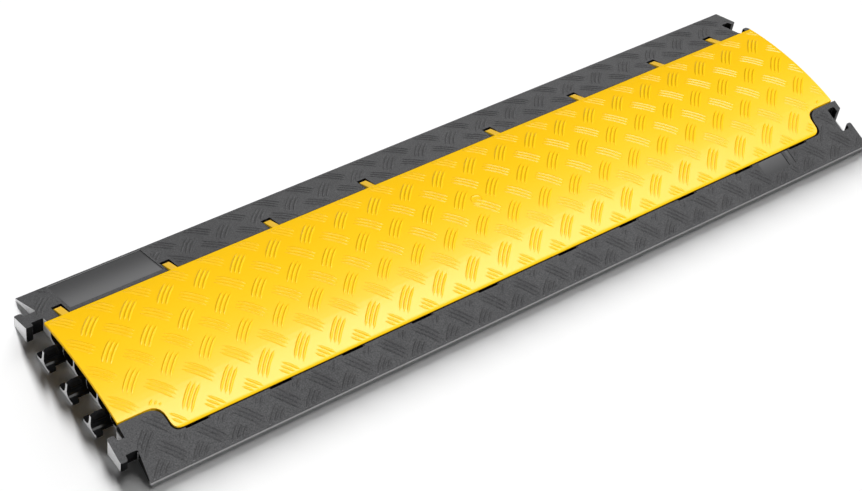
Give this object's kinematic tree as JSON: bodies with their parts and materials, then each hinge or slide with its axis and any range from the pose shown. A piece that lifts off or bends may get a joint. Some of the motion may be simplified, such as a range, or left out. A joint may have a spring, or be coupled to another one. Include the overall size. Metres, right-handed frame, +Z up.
{
  "type": "floor cord cover",
  "caption": "Low ramp-sided floor cord cover with a hinged tread-plate lid over cable channels and interlocking ends.",
  "frame": {"origin": "middle of the underside of the bounding box, on the floor", "axes": "+X along the cable channels towards the socket end, +Y across the cover towards the hinged rear edge, +Z up"},
  "size_m": [1.017, 0.28, 0.0324],
  "materials": {
    "black_rubber": "fine-grained moulded black, satin",
    "yellow_plastic": "moulded signal yellow, satin"
  },
  "bodies": {
    "base": {"base": "black_rubber"},
    "lid": {"lid": "yellow_plastic"}
  },
  "joints": [
    {"name": "lid_hinge", "type": "hinge", "parent": "base", "child": "lid", "pos_m": [0, 0.0925, 0.0143], "axis": [-1, 0, 0], "range_deg": [0, 105]}
  ]
}
